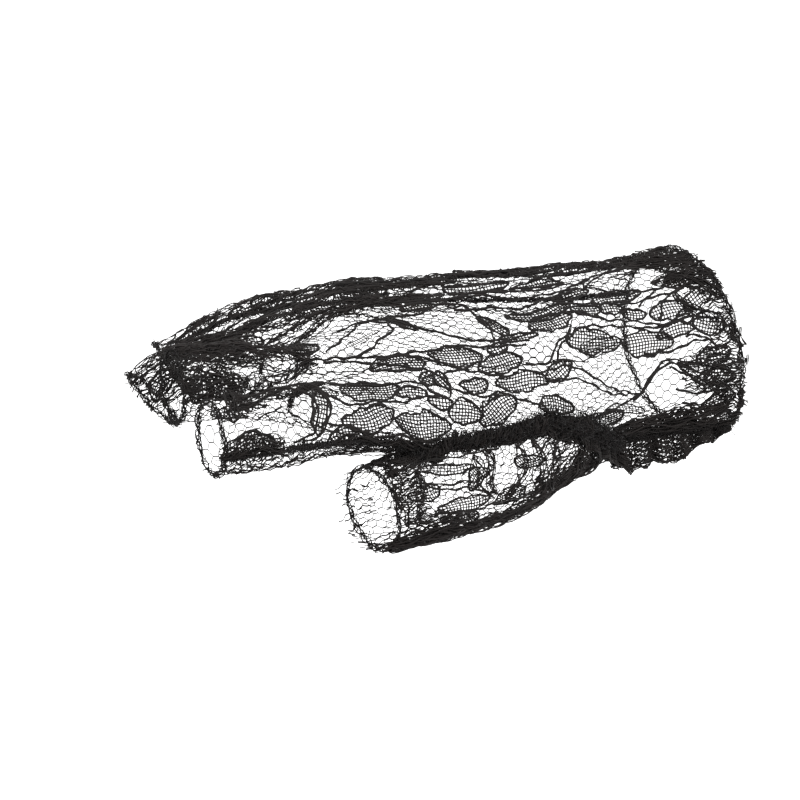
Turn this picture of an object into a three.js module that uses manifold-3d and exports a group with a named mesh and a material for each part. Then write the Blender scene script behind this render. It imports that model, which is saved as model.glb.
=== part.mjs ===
// A short fingerless lace glove, kept in the shape that it has on a hand.
// The back and the palm are two lace panels whose finger stubs are cut in one with them. They are
// joined by overlocked seams down both sides and round the forks between the fingers. The thumb is
// a lace tube sewn into a hole in the thumb side. Every opening ends in a narrow rolled hem.
// Millimetres. The origin is the middle of the wrist opening, -X runs to the fingers,
// -Y is the thumb side and +Z is the back of the hand.
import * as THREE from "three";
import { mergeVertices } from "three/addons/utils/BufferGeometryUtils.js";
import Module from "manifold-3d";

// Cloth, seams and the space between pieces
const WALL = 1.0;
const SEAM_RADIUS = 0.85;
const THUMB_SEAM_RADIUS = 1.1;
const HEM_RADIUS = 1.0;
const CLEARANCE = 0.35;

// The hand's length is measured from the wrist: the knuckle line, and the forks between the fingers.
const KNUCKLE_LINE = 84;
const FORK_LINE = 115;
const FORK_SPREAD = 8; // past the fork the fingers part over this length
const FORK_SEAM = 112.6;
const WRIST_DIP = 9; // the wrist edge reaches this much further up the arm on the thumb side

// Sections of the hand: half its width, the height of its back and the depth of its palm, how
// square the section is (2 is an ellipse), how many degrees its thumb side is raised, and how many
// degrees the seam of the thumb side lies below that side.
const HAND = [
  { along: -10, rise: 2.0, halfWidth: 25.0, back: 24.0, palm: 22.5, square: 2.0, tilt: 0, seam: 30 },
  { along: 0, rise: 1.5, halfWidth: 24.5, back: 23.5, palm: 23.0, square: 2.0, tilt: 0, seam: 30 },
  { along: 20, rise: 1.5, halfWidth: 24.0, back: 21.0, palm: 24.0, square: 2.05, tilt: 0, seam: 32 },
  { along: 45, rise: 2.0, halfWidth: 27.5, back: 17.5, palm: 22.0, square: 2.15, tilt: 2, seam: 34 },
  { along: 70, rise: 2.5, halfWidth: 31.5, back: 14.5, palm: 17.0, square: 2.25, tilt: 4, seam: 28 },
  { along: 92, rise: 2.5, halfWidth: 34.0, back: 12.5, palm: 12.3, square: 2.4, tilt: 5.5, seam: 12 },
  { along: 114, rise: 1.0, halfWidth: 33.5, back: 9.5, palm: 9.5, square: 2.4, tilt: 7, seam: 0 },
  { along: 150, rise: -8.0, halfWidth: 33.5, back: 9.0, palm: 9.0, square: 2.4, tilt: 7, seam: 0 },
];

// Each finger bends from its knuckle through a bend point to its open end. Its half width and half
// height are given at the knuckle, the fork and the end. ACROSS is where the fingers divide the hand.
const ACROSS = [0, 0.265, 0.52, 0.77, 1];
const FINGERS = [
  { name: "index", knuckle: [-84, -24.5, 4.5], bend: [-112, -27.4, 6.5], end: [-136, -28.0, 4.8],
    halfWidth: [9.0, 8.3, 8.0], halfHeight: [11, 9.0, 8.6], length: 136 },
  { name: "middle", knuckle: [-84, -8, 3], bend: [-118, -9, 8], end: [-138.5, -8.7, 6.5],
    halfWidth: [9.0, 8.3, 8.0], halfHeight: [11.5, 9.0, 8.6], length: 139 },
  { name: "ring", knuckle: [-84, 9, 1.5], bend: [-124, 9.7, 4], end: [-135, 9.9, -8.5],
    halfWidth: [8.7, 7.9, 7.6], halfHeight: [11, 8.6, 8.0], length: 138.5 },
  { name: "little", knuckle: [-84, 25, -1], bend: [-112, 25.6, -1], end: [-124, 26.2, -11],
    halfWidth: [8.0, 6.8, 6.4], halfHeight: [10, 7.6, 6.8], length: 126 },
];
const SIZE_STATIONS = [0, 0.55, 1];

// Sections of the thumb's tube, from inside the hand to its open end
const THUMB = [
  { along: 8, across: -2.0, rise: -4.0, halfWidth: 10.0, halfHeight: 12.0 },
  { along: 28, across: -8.5, rise: -9.5, halfWidth: 12.5, halfHeight: 15.5 },
  { along: 46, across: -18.5, rise: -9.8, halfWidth: 13.2, halfHeight: 13.6 },
  { along: 61, across: -27.5, rise: -10.3, halfWidth: 12.8, halfHeight: 12.2 },
  { along: 80, across: -34.0, rise: -11.0, halfWidth: 11.6, halfHeight: 10.8 },
  { along: 97, across: -38.0, rise: -12.0, halfWidth: 10.0, halfHeight: 9.8 },
];

// How finely the cloth is divided
const HAND_ROWS = 14;
const FINGER_ROWS = 3;
const FINGER_COLUMNS = 4;
const THUMB_ROWS = 11;
const THUMB_COLUMNS = 16;
const FINGER_HEM_STEPS = 20;
const WRIST_HEM_STEPS = 28;
const THUMB_SEAM_STEPS = 30;
const BEAD_SIDES = 6;

// The clear net between the lace's motifs is cut through, one six-sided gap in every third cell
// of these fields of the cloth (rows from the wrist, columns from the thumb side).
const GAP_SHARE = 0.36; // half a gap's size, as a share of its cell
const GAP_FIELDS = {
  back_panel: [{ rows: [1, 12], columns: [1, 17] }],
  palm_panel: [{ rows: [3, 12], columns: [6, 17] }],
  thumb_sleeve: [{ rows: [5, 9], columns: [1, 14] }],
};

const wasm = await Module();
wasm.setup();

const lace = new THREE.MeshStandardMaterial({ color: 0x1b1918, roughness: 0.85, metalness: 0 });
const hem = new THREE.MeshStandardMaterial({ color: 0x161414, roughness: 0.9, metalness: 0 });
const overlock = new THREE.MeshStandardMaterial({ color: 0x0f0e0e, roughness: 0.95, metalness: 0 });
const glove = new THREE.Group();

// A smooth curve through a table's values at its stations.
function smooth(stations, values, at) {
  const last = stations.length - 1;
  const slope = (i) => (values[i + 1] - values[i]) / (stations[i + 1] - stations[i]);
  const tangent = (i) => {
    if (i === 0) return slope(0);
    if (i === last) return slope(last - 1);
    const before = stations[i] - stations[i - 1];
    const after = stations[i + 1] - stations[i];
    return (after * slope(i - 1) + before * slope(i)) / (before + after);
  };
  let i = 0;
  while (i < last - 1 && at >= stations[i + 1]) i++;
  const gap = stations[i + 1] - stations[i];
  const t = THREE.MathUtils.clamp((at - stations[i]) / gap, -0.5, 1.5);
  return (
    (2 * t ** 3 - 3 * t ** 2 + 1) * values[i] +
    (t ** 3 - 2 * t ** 2 + t) * gap * tangent(i) +
    (3 * t ** 2 - 2 * t ** 3) * values[i + 1] +
    (t ** 3 - t ** 2) * gap * tangent(i + 1)
  );
}

const handStations = HAND.map((row) => row.along);
const handSize = (column, along) => smooth(handStations, HAND.map((row) => row[column]), along);
const power = (value, exponent) => Math.sign(value) * Math.abs(value) ** exponent;

// A point of the hand's section. across runs from 0 at the thumb side to 1 at the little finger's,
// in equal steps of cloth, and face is 1 for the back and -1 for the palm.
const SECTION_STEPS = 72;
function handPoint(along, across, face) {
  const halfWidth = handSize("halfWidth", along);
  const height = face > 0 ? handSize("back", along) : -handSize("palm", along);
  const otherHeight = handSize("palm", along);
  const exponent = 2 / handSize("square", along);
  const seam = -face * THREE.MathUtils.degToRad(handSize("seam", along));
  const sides = [];
  const lengths = [0];
  for (let k = 0; k <= SECTION_STEPS; k++) {
    const angle = THREE.MathUtils.lerp(seam, Math.PI, k / SECTION_STEPS);
    const beyond = angle < 0 ? otherHeight : height;
    sides.push([-halfWidth * power(Math.cos(angle), exponent), beyond * power(Math.sin(angle), exponent)]);
    if (k) lengths.push(lengths[k - 1] + Math.hypot(sides[k][0] - sides[k - 1][0], sides[k][1] - sides[k - 1][1]));
  }
  const wanted = across * lengths[SECTION_STEPS];
  let k = 1;
  while (k < SECTION_STEPS && lengths[k] < wanted) k++;
  const share = (wanted - lengths[k - 1]) / (lengths[k] - lengths[k - 1]);
  const y = THREE.MathUtils.lerp(sides[k - 1][0], sides[k][0], share);
  const z = THREE.MathUtils.lerp(sides[k - 1][1], sides[k][1], share);
  const tilt = THREE.MathUtils.degToRad(handSize("tilt", along));
  return new THREE.Vector3(
    -along,
    y * Math.cos(tilt) + z * Math.sin(tilt),
    handSize("rise", along) - y * Math.sin(tilt) + z * Math.cos(tilt),
  );
}

// The middle, directions and half sizes of a finger's section.
const fingerCurves = new Map(
  FINGERS.map((finger) => [
    finger,
    new THREE.QuadraticBezierCurve3(
      new THREE.Vector3(...finger.knuckle),
      new THREE.Vector3(...finger.bend),
      new THREE.Vector3(...finger.end),
    ),
  ]),
);
function fingerAt(finger, along) {
  const share = THREE.MathUtils.clamp((along - KNUCKLE_LINE) / (finger.length - KNUCKLE_LINE), 0, 1);
  const curve = fingerCurves.get(finger);
  const forward = curve.getTangentAt(share);
  const side = new THREE.Vector3().crossVectors(forward, new THREE.Vector3(0, 0, 1)).normalize();
  return {
    middle: curve.getPointAt(share),
    side,
    up: new THREE.Vector3().crossVectors(side, forward),
    halfWidth: smooth(SIZE_STATIONS, finger.halfWidth, share),
    halfHeight: smooth(SIZE_STATIONS, finger.halfHeight, share),
  };
}

// The line where a finger's back and palm meet. Up to the fork it is shared with its neighbour.
function fingerSide(index, along, way) {
  const own = fingerAt(FINGERS[index], along);
  const line = own.middle.clone().addScaledVector(own.side, way * own.halfWidth);
  const neighbour = FINGERS[index + way];
  if (!neighbour) return line;
  const next = fingerAt(neighbour, along);
  const shared = next.middle.clone().addScaledVector(next.side, -way * next.halfWidth).add(line).multiplyScalar(0.5);
  return shared.lerp(line, THREE.MathUtils.smoothstep(along, FORK_LINE, FORK_LINE + FORK_SPREAD));
}

// A point of the cloth's outer face. The hand's section turns into the four fingers' between the
// knuckles and the forks.
function clothPoint(along, across, face, finger) {
  const body = handPoint(along, across, face);
  const fingers = THREE.MathUtils.clamp((along - KNUCKLE_LINE) / (FORK_LINE - KNUCKLE_LINE), 0, 1) ** 2;
  if (!fingers) return body;
  const left = fingerSide(finger, along, -1);
  const right = fingerSide(finger, along, 1);
  const angle = (Math.PI * (across - ACROSS[finger])) / (ACROSS[finger + 1] - ACROSS[finger]);
  const section = fingerAt(FINGERS[finger], along);
  const point = left.clone().add(right).multiplyScalar(0.5);
  point.addScaledVector(right.clone().sub(left), -Math.cos(angle) / 2);
  point.addScaledVector(section.up, face * section.halfHeight * Math.sin(angle));
  return body.lerp(point, fingers);
}

const wristEdge = (across) => -WRIST_DIP * (1 - across) ** 2;

// The same point moved into the cloth by depth, along the cloth's own normal.
const NORMAL_STEP = 0.4;
const NORMAL_STEP_ACROSS = 0.004;
function clothAt(along, across, face, finger, depth) {
  const point = clothPoint(along, across, face, finger);
  if (!depth) return point;
  const low = Math.max(across - NORMAL_STEP_ACROSS, ACROSS[finger]);
  const high = Math.min(across + NORMAL_STEP_ACROSS, ACROSS[finger + 1]);
  const lengthwise = clothPoint(along + NORMAL_STEP, across, face, finger)
    .sub(clothPoint(along - NORMAL_STEP, across, face, finger));
  const sideways = clothPoint(along, high, face, finger).sub(clothPoint(along, low, face, finger));
  const inward = lengthwise.cross(sideways).normalize().multiplyScalar(face);
  return point.addScaledVector(inward, depth);
}

// A seam runs in the middle of the cloth's wall, where the two panels meet.
function seamPoint(along, finger, way) {
  const across = ACROSS[way < 0 ? finger : finger + 1];
  const back = clothAt(along, across, 1, finger, WALL / 2);
  return back.add(clothAt(along, across, -1, finger, WALL / 2)).multiplyScalar(0.5);
}

// One closed solid from a grid of cells of cloth. grid.outer and grid.inner are rows of points,
// grid.cell(row, column) says whether there is cloth, and grid.gap whether it is cut through.
function clothGeometry(grid) {
  const positions = [];
  const face = (...points) => {
    for (let k = 1; k + 1 < points.length; k++) {
      for (const p of [points[0], points[k], points[k + 1]]) positions.push(p.x, p.y, p.z);
    }
  };
  const blend = (a, b, c, d, s, t) => a.clone().lerp(b, s).lerp(d.clone().lerp(c, s), t);
  const corners = (layer, row, column) => {
    const nextColumn = grid.closed ? (column + 1) % grid.columns : column + 1;
    return [layer[row][column], layer[row + 1][column], layer[row + 1][nextColumn], layer[row][nextColumn]];
  };
  const SIX = [0, 1, 2, 3, 4, 5].map((k) => (Math.PI * k) / 3);
  const hole = (quad) =>
    SIX.map((angle) => blend(...quad, 0.5 + GAP_SHARE * Math.cos(angle), 0.5 + GAP_SHARE * Math.sin(angle)));
  // Fills the frame between a cell's edge (four corners) and its six-sided gap, and is turned
  // round for the inner face.
  const frame = ([a, b, c, d], h, turned) => {
    const triangles = [[b, h[0], c], [c, h[0], h[1]], [c, h[1], h[2]], [c, h[2], d], [d, h[2], h[3]],
      [d, h[3], a], [a, h[3], h[4]], [a, h[4], h[5]], [a, h[5], b], [b, h[5], h[0]]];
    for (const [p, q, r] of triangles) turned ? face(p, q, r) : face(p, r, q);
  };
  for (let row = 0; row < grid.rows; row++) {
    for (let column = 0; column < grid.columns; column++) {
      if (!grid.cell(row, column)) continue;
      const outer = corners(grid.outer, row, column);
      const inner = corners(grid.inner, row, column);
      if (grid.gap(row, column)) {
        const above = hole(outer);
        const below = hole(inner);
        frame(outer, above, false);
        frame(inner, below, true);
        SIX.forEach((_, k) => {
          const n = (k + 1) % SIX.length;
          face(above[n], below[n], below[k], above[k]);
        });
      } else {
        face(...outer);
        face(inner[0], inner[3], inner[2], inner[1]);
      }
      const neighbours = [[row, column - 1], [row + 1, column], [row, column + 1], [row - 1, column]];
      neighbours.forEach(([r, c], k) => {
        const around = grid.closed ? (c + grid.columns) % grid.columns : c;
        if (r >= 0 && r < grid.rows && around >= 0 && around < grid.columns && grid.cell(r, around)) return;
        const n = (k + 1) % 4;
        face(outer[n], outer[k], inner[k], inner[n]);
      });
    }
  }
  return new THREE.BufferGeometry().setAttribute("position", new THREE.Float32BufferAttribute(positions, 3));
}

// Joining and cutting
function solidOf(geometry) {
  const bare = geometry.clone();
  bare.deleteAttribute("normal");
  bare.deleteAttribute("uv");
  const merged = mergeVertices(bare, 1e-3);
  return new wasm.Manifold(
    new wasm.Mesh({
      numProp: 3,
      vertProperties: merged.attributes.position.array,
      triVerts: new Uint32Array(merged.index.array),
    }),
  );
}
const SLIVER = 0.12; // edges shorter than this are joined away
function geometryOf(solid) {
  const pieces = solid.simplify(SLIVER).decompose().sort((a, b) => b.volume() - a.volume());
  const mesh = pieces[0].getMesh();
  return new THREE.BufferGeometry()
    .setAttribute("position", new THREE.BufferAttribute(mesh.vertProperties, 3))
    .setIndex(new THREE.BufferAttribute(mesh.triVerts, 1));
}
function addPiece(name, geometry, material) {
  const mesh = new THREE.Mesh(geometry, material);
  mesh.name = name;
  glove.add(mesh);
}

// Seams and hems are round beads that follow a line of points.
const beadOutline = (radius) =>
  new THREE.Shape(
    Array.from({ length: BEAD_SIDES }, (_, k) => {
      const angle = (2 * Math.PI * k) / BEAD_SIDES;
      return new THREE.Vector2(radius * Math.cos(angle), radius * Math.sin(angle));
    }),
  );
const openBead = (points, radius, steps) =>
  new THREE.ExtrudeGeometry(beadOutline(radius), { steps, extrudePath: new THREE.CatmullRomCurve3(points) });
const closedBead = (points, radius, steps) =>
  new THREE.TubeGeometry(new THREE.CatmullRomCurve3(points, true), steps, radius, BEAD_SIDES, true);

// The thumb's tube: a point round it, depth inside its outer face.
const thumbStations = THUMB.map((row) => row.along);
const thumbSize = (column, along) => smooth(thumbStations, THUMB.map((row) => row[column]), along);
const thumbMiddle = (along) => new THREE.Vector3(-along, thumbSize("across", along), thumbSize("rise", along));
function thumbPoint(along, angle, depth) {
  const forward = thumbMiddle(along + 0.5).sub(thumbMiddle(along - 0.5)).normalize();
  const side = new THREE.Vector3().crossVectors(forward, new THREE.Vector3(0, 0, 1)).normalize();
  const up = new THREE.Vector3().crossVectors(side, forward);
  return thumbMiddle(along)
    .addScaledVector(side, (thumbSize("halfWidth", along) - depth) * Math.cos(angle))
    .addScaledVector(up, (thumbSize("halfHeight", along) - depth) * Math.sin(angle));
}
const THUMB_START = thumbStations[0];
const THUMB_END = thumbStations[THUMB.length - 1];

// Whether a point lies inside the hand's outer face
function insideHand(point) {
  const along = -point.x;
  const tilt = THREE.MathUtils.degToRad(handSize("tilt", along));
  const rise = point.z - handSize("rise", along);
  const y = point.y * Math.cos(tilt) - rise * Math.sin(tilt);
  const z = point.y * Math.sin(tilt) + rise * Math.cos(tilt);
  const height = handSize(z > 0 ? "back" : "palm", along);
  const square = handSize("square", along);
  return Math.abs(y / handSize("halfWidth", along)) ** square + Math.abs(z / height) ** square < 1;
}
// Where the thumb's tube leaves the hand, for each angle round the tube
const thumbSeamLine = Array.from({ length: THUMB_SEAM_STEPS }, (_, k) => {
  const angle = (2 * Math.PI * k) / THUMB_SEAM_STEPS;
  let outside = THUMB_END;
  let inside = THUMB_START;
  for (let halving = 0; halving < 24; halving++) {
    const along = (outside + inside) / 2;
    if (insideHand(thumbPoint(along, angle, WALL / 2))) inside = along;
    else outside = along;
  }
  return thumbPoint(outside, angle, WALL / 2);
});

// The volumes that the panels and the thumb's tube are cut with
const HULL_ROWS = 14;
const HULL_COLUMNS = 16;
function ringGeometry(rings) {
  const positions = [];
  const triangle = (...points) => points.forEach((p) => positions.push(p.x, p.y, p.z));
  const around = rings[0].length;
  for (let row = 0; row + 1 < rings.length; row++) {
    for (let k = 0; k < around; k++) {
      const n = (k + 1) % around;
      triangle(rings[row][k], rings[row][n], rings[row + 1][n]);
      triangle(rings[row][k], rings[row + 1][n], rings[row + 1][k]);
    }
  }
  const middle = (ring) => ring.reduce((sum, p) => sum.add(p), new THREE.Vector3()).multiplyScalar(1 / around);
  const first = rings[0];
  const last = rings[rings.length - 1];
  for (let k = 0; k < around; k++) {
    const n = (k + 1) % around;
    triangle(middle(first), first[n], first[k]);
    triangle(middle(last), last[k], last[n]);
  }
  return new THREE.BufferGeometry().setAttribute("position", new THREE.Float32BufferAttribute(positions, 3));
}
const handRings = Array.from({ length: HULL_ROWS + 1 }, (_, row) => {
  const along = THREE.MathUtils.lerp(-30, FORK_LINE, row / HULL_ROWS);
  return Array.from({ length: 2 * HULL_COLUMNS }, (_, k) =>
    k < HULL_COLUMNS
      ? handPoint(along, k / HULL_COLUMNS, 1)
      : handPoint(along, 2 - k / HULL_COLUMNS, -1));
});
const thumbRings = Array.from({ length: HULL_ROWS + 1 }, (_, row) =>
  Array.from({ length: 2 * HULL_COLUMNS }, (_, k) =>
    thumbPoint(
      THREE.MathUtils.lerp(THUMB_START, THUMB_END + 2, row / HULL_ROWS),
      (-Math.PI * k) / HULL_COLUMNS,
      0,
    )));
const handVolume = solidOf(ringGeometry(handRings));
const thumbVolume = solidOf(ringGeometry(thumbRings));

// The seams' lines, and the room that each takes out of the cloth beside it
const SEAM_END_GAP = HEM_RADIUS + SEAM_RADIUS + CLEARANCE;
const seamLine = (finger, way, from, to, count) =>
  Array.from({ length: count }, (_, k) =>
    seamPoint(THREE.MathUtils.lerp(from, to, k / (count - 1)), finger, way));
const outerSideLine = seamLine(3, 1, SEAM_END_GAP, FINGERS[3].length - SEAM_END_GAP, 15);
const thumbSideLine = seamLine(0, -1, SEAM_END_GAP - WRIST_DIP, FINGERS[0].length - SEAM_END_GAP, 17);
const forkLines = [0, 1, 2].map((finger) => [
  seamLine(finger, 1, FORK_SEAM, FINGERS[finger].length - SEAM_END_GAP, 6),
  seamLine(finger + 1, -1, FORK_SEAM, FINGERS[finger + 1].length - SEAM_END_GAP, 6),
]);
const seamBead = (points, growth) => solidOf(openBead(points, SEAM_RADIUS + growth, points.length));
const forkBead = (lines, growth) => seamBead(lines[0], growth).add(seamBead(lines[1], growth));
const thumbSeamBead = (growth) =>
  solidOf(closedBead(thumbSeamLine, THUMB_SEAM_RADIUS + growth, THUMB_SEAM_STEPS));

// The hems' lines round the openings
function hemLine(from, to, steps, pointAt) {
  const there = Array.from({ length: steps }, (_, k) => pointAt(THREE.MathUtils.lerp(from, to, k / steps), 1));
  const back = Array.from({ length: steps }, (_, k) => pointAt(THREE.MathUtils.lerp(to, from, k / steps), -1));
  return [...there, ...back];
}
const fingerHemLines = FINGERS.map((finger, k) =>
  hemLine(ACROSS[k], ACROSS[k + 1], FINGER_HEM_STEPS / 2, (across, face) =>
    clothAt(finger.length, across, face, k, WALL / 2)));
const wristHemLine = hemLine(0, 1, WRIST_HEM_STEPS / 2, (across, face) =>
  clothAt(wristEdge(across), across, face, 0, WALL / 2));
const hemBead = (line, growth) => solidOf(closedBead(line, HEM_RADIUS + growth, line.length));
const room = [
  seamBead(outerSideLine, CLEARANCE),
  seamBead(thumbSideLine, CLEARANCE),
  ...forkLines.map((lines) => forkBead(lines, CLEARANCE)),
  thumbSeamBead(CLEARANCE),
  ...fingerHemLines.map((line) => hemBead(line, CLEARANCE)),
  hemBead(wristHemLine, CLEARANCE),
].reduce((all, bead) => all.add(bead));

// The back and palm panels
const HAND_END = FORK_SEAM - SEAM_RADIUS - CLEARANCE;
const EDGE_GAP = 0.01; // from a seam's line to a panel's edge, as a share of the hand's width
const PANEL_COLUMNS = FINGERS.length * FINGER_COLUMNS + (FINGERS.length - 1);
const fingerOf = (column) => Math.min(FINGERS.length - 1, Math.floor(column / (FINGER_COLUMNS + 1)));
function panelPoint(row, column, face, depth) {
  const finger = fingerOf(column);
  const share = (column - finger * (FINGER_COLUMNS + 1)) / FINGER_COLUMNS;
  const across = THREE.MathUtils.lerp(ACROSS[finger] + EDGE_GAP, ACROSS[finger + 1] - EDGE_GAP, share);
  const start = wristEdge(across) + HEM_RADIUS + CLEARANCE;
  const end = FINGERS[finger].length - HEM_RADIUS - CLEARANCE;
  const along =
    row <= HAND_ROWS
      ? THREE.MathUtils.lerp(start, HAND_END, row / HAND_ROWS)
      : THREE.MathUtils.lerp(HAND_END, end, (row - HAND_ROWS) / FINGER_ROWS);
  return clothAt(along, across, face, finger, depth);
}
function panelGrid(face, fields) {
  const rows = HAND_ROWS + FINGER_ROWS;
  const layer = (depth) =>
    Array.from({ length: rows + 1 }, (_, row) =>
      Array.from({ length: PANEL_COLUMNS + 1 }, (_, column) => panelPoint(row, column, face, depth)));
  return {
    rows,
    columns: PANEL_COLUMNS,
    outer: layer(face > 0 ? WALL : 0),
    inner: layer(face > 0 ? 0 : WALL),
    cell: (row, column) => row < HAND_ROWS || (column + 1) % (FINGER_COLUMNS + 1) !== 0,
    gap: (row, column) => (column + 1) % (FINGER_COLUMNS + 1) !== 0 && inFields(fields, row, column),
  };
}
function inFields(fields, row, column) {
  const within = (value, [from, to]) => value >= from && value <= to;
  return (row + column) % 3 === 0 && fields.some((f) => within(row, f.rows) && within(column, f.columns));
}
for (const [name, face] of [["back_panel", 1], ["palm_panel", -1]]) {
  const panel = solidOf(clothGeometry(panelGrid(face, GAP_FIELDS[name])));
  addPiece(name, geometryOf(panel.subtract(thumbVolume).subtract(room)), lace);
}

// The thumb's tube, sewn into its hole in the side
const sleeveLayer = (depth) =>
  Array.from({ length: THUMB_ROWS + 1 }, (_, row) =>
    Array.from({ length: THUMB_COLUMNS }, (_, column) =>
      thumbPoint(
        THREE.MathUtils.lerp(THUMB_START, THUMB_END - HEM_RADIUS - CLEARANCE, row / THUMB_ROWS),
        (2 * Math.PI * column) / THUMB_COLUMNS,
        depth,
      )));
const sleeve = solidOf(clothGeometry({
  rows: THUMB_ROWS,
  columns: THUMB_COLUMNS,
  closed: true,
  outer: sleeveLayer(0),
  inner: sleeveLayer(WALL),
  cell: () => true,
  gap: (row, column) => inFields(GAP_FIELDS.thumb_sleeve, row, column),
}));
addPiece("thumb_sleeve", geometryOf(sleeve.subtract(handVolume).subtract(thumbSeamBead(CLEARANCE))), lace);

// Overlocked seams. The thumb side's seam is two pieces, as the thumb's hole parts it.
addPiece("thumb_seam", geometryOf(thumbSeamBead(0)), overlock);
addPiece("outer_side_seam", geometryOf(seamBead(outerSideLine, 0)), overlock);
const thumbSideParts = seamBead(thumbSideLine, 0)
  .subtract(thumbVolume)
  .subtract(thumbSeamBead(CLEARANCE))
  .decompose()
  .sort((a, b) => a.boundingBox().min[0] - b.boundingBox().min[0]);
addPiece("index_side_seam", geometryOf(thumbSideParts[0]), overlock);
addPiece("wrist_side_seam", geometryOf(thumbSideParts[thumbSideParts.length - 1]), overlock);
["index_middle_fork_seam", "middle_ring_fork_seam", "ring_little_fork_seam"].forEach((name, k) =>
  addPiece(name, geometryOf(forkBead(forkLines[k], 0)), overlock));

// Rolled hems round the openings
FINGERS.forEach((finger, k) => addPiece(`${finger.name}_hem`, geometryOf(hemBead(fingerHemLines[k], 0)), hem));
addPiece("wrist_hem", geometryOf(hemBead(wristHemLine, 0)), hem);
const thumbEndLine = Array.from({ length: FINGER_HEM_STEPS }, (_, k) =>
  thumbPoint(THUMB_END, (2 * Math.PI * k) / FINGER_HEM_STEPS, WALL / 2));
addPiece("thumb_hem", geometryOf(hemBead(thumbEndLine, 0)), hem);

export default glove;
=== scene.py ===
# A short fingerless glove of black raschel lace, in the shape that it takes when it is worn.
# Every thread of the lace is a thin closed tube laid on the cloth's form: a clear six-sided net,
# leaves filled with a fine square mesh, and a thick gimp cord round each leaf.
# Blender works in metres, and the sizes here are millimetres. A spot on the cloth is given by its
# distance along, from the wrist towards the fingers, and its place across, counted in finger
# widths: 0 at the thumb side's seam and 4 at the outer seam.
import math
import bpy
import numpy as np
from mathutils import Matrix, Vector


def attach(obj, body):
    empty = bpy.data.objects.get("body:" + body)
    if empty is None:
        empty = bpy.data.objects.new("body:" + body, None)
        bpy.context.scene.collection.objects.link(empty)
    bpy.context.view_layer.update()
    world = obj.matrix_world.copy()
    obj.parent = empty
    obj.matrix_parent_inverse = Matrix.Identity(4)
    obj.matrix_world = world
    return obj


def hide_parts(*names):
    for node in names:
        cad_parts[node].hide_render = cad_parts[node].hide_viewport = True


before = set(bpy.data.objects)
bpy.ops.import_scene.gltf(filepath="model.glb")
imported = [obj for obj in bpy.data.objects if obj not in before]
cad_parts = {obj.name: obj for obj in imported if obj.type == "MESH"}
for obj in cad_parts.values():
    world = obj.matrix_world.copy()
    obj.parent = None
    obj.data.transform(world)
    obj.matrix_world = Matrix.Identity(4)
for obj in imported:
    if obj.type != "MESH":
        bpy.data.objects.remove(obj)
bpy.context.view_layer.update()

# Back panel
# Black polyester raschel lace, cut in one with the backs of the four short finger stalls. Clear net
# runs down its middle and leaves lie round it. It is overlocked to the palm and gathered at its edges.

MM = 0.001
KNUCKLES = 84  # along, where the glove's body starts to divide into fingers
FORK_SEAM = 112.6  # along, where back and palm are joined between two fingers
FORKS = 115  # along, where the fingers part
FORK_SPREAD = 8  # the length over which two fingers part
WRIST_DIP = 9  # how much longer the glove is at the thumb side's seam
FINGER_EDGES = (0, 0.265, 0.52, 0.77, 1)  # shares of the cloth's width
CLOTH_BACK = 86  # the panel's width, laid flat

# Sections of the glove's body: along, rise, half width, back, palm, squareness, tilt and seam angle
BODY = np.array([
    (-10, 2.0, 25.0, 24.0, 22.5, 2.0, 0, 30),
    (0, 1.5, 24.5, 23.5, 23.0, 2.0, 0, 30),
    (20, 1.5, 24.0, 21.0, 24.0, 2.05, 0, 32),
    (45, 2.0, 27.5, 17.5, 22.0, 2.15, 2, 34),
    (70, 2.5, 31.5, 14.5, 17.0, 2.25, 4, 28),
    (92, 2.5, 34.0, 12.5, 12.3, 2.4, 5.5, 12),
    (114, 1.0, 33.5, 9.5, 9.5, 2.4, 7, 0),
    (150, -8.0, 33.5, 9.0, 9.0, 2.4, 7, 0),
])

# Each finger's path through its knuckle, bend and end, its half widths and half heights at
# SIZE_STATIONS, and how far along it ends
SIZE_STATIONS = (0, 0.55, 1)
FINGERS = [
    {"path": [(-84, -24.5, 4.5), (-112, -27.4, 6.5), (-136, -28.0, 4.8)],
     "width": [9.0, 8.3, 8.0], "height": [11, 9.0, 8.6], "length": 136},
    {"path": [(-84, -8, 3), (-118, -9, 8), (-138.5, -8.7, 6.5)],
     "width": [9.0, 8.3, 8.0], "height": [11.5, 9.0, 8.6], "length": 139},
    {"path": [(-84, 9, 1.5), (-124, 9.7, 4), (-135, 9.9, -8.5)],
     "width": [8.7, 7.9, 7.6], "height": [11, 8.6, 8.0], "length": 138.5},
    {"path": [(-84, 25, -1), (-112, 25.6, -1), (-124, 26.2, -11)],
     "width": [8.0, 6.8, 6.4], "height": [10, 7.6, 6.8], "length": 126},
]


def smooth(stations, values, at):
    """A smooth curve through a table's values at its stations."""
    x = np.asarray(stations, float)
    y = np.asarray(values, float)
    gap = np.diff(x)
    slope = np.diff(y) / gap
    inner = (gap[1:] * slope[:-1] + gap[:-1] * slope[1:]) / (gap[:-1] + gap[1:])
    tangent = np.concatenate([slope[:1], inner, slope[-1:]])
    i = np.clip(np.searchsorted(x, at, side="right") - 1, 0, len(x) - 2)
    t = np.clip((at - x[i]) / gap[i], -0.5, 1.5)
    start = (2 * t**3 - 3 * t**2 + 1) * y[i] + (t**3 - 2 * t**2 + t) * gap[i] * tangent[i]
    end = (3 * t**2 - 2 * t**3) * y[i + 1] + (t**3 - t**2) * gap[i] * tangent[i + 1]
    return start + end


def unit(vectors):
    """The vectors, each made one long."""
    return vectors / np.linalg.norm(vectors, axis=-1, keepdims=True)


def distances(line):
    """How far along a line of points each of them is."""
    return np.concatenate([[0], np.cumsum(np.linalg.norm(np.diff(line, axis=0), axis=1))])


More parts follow.
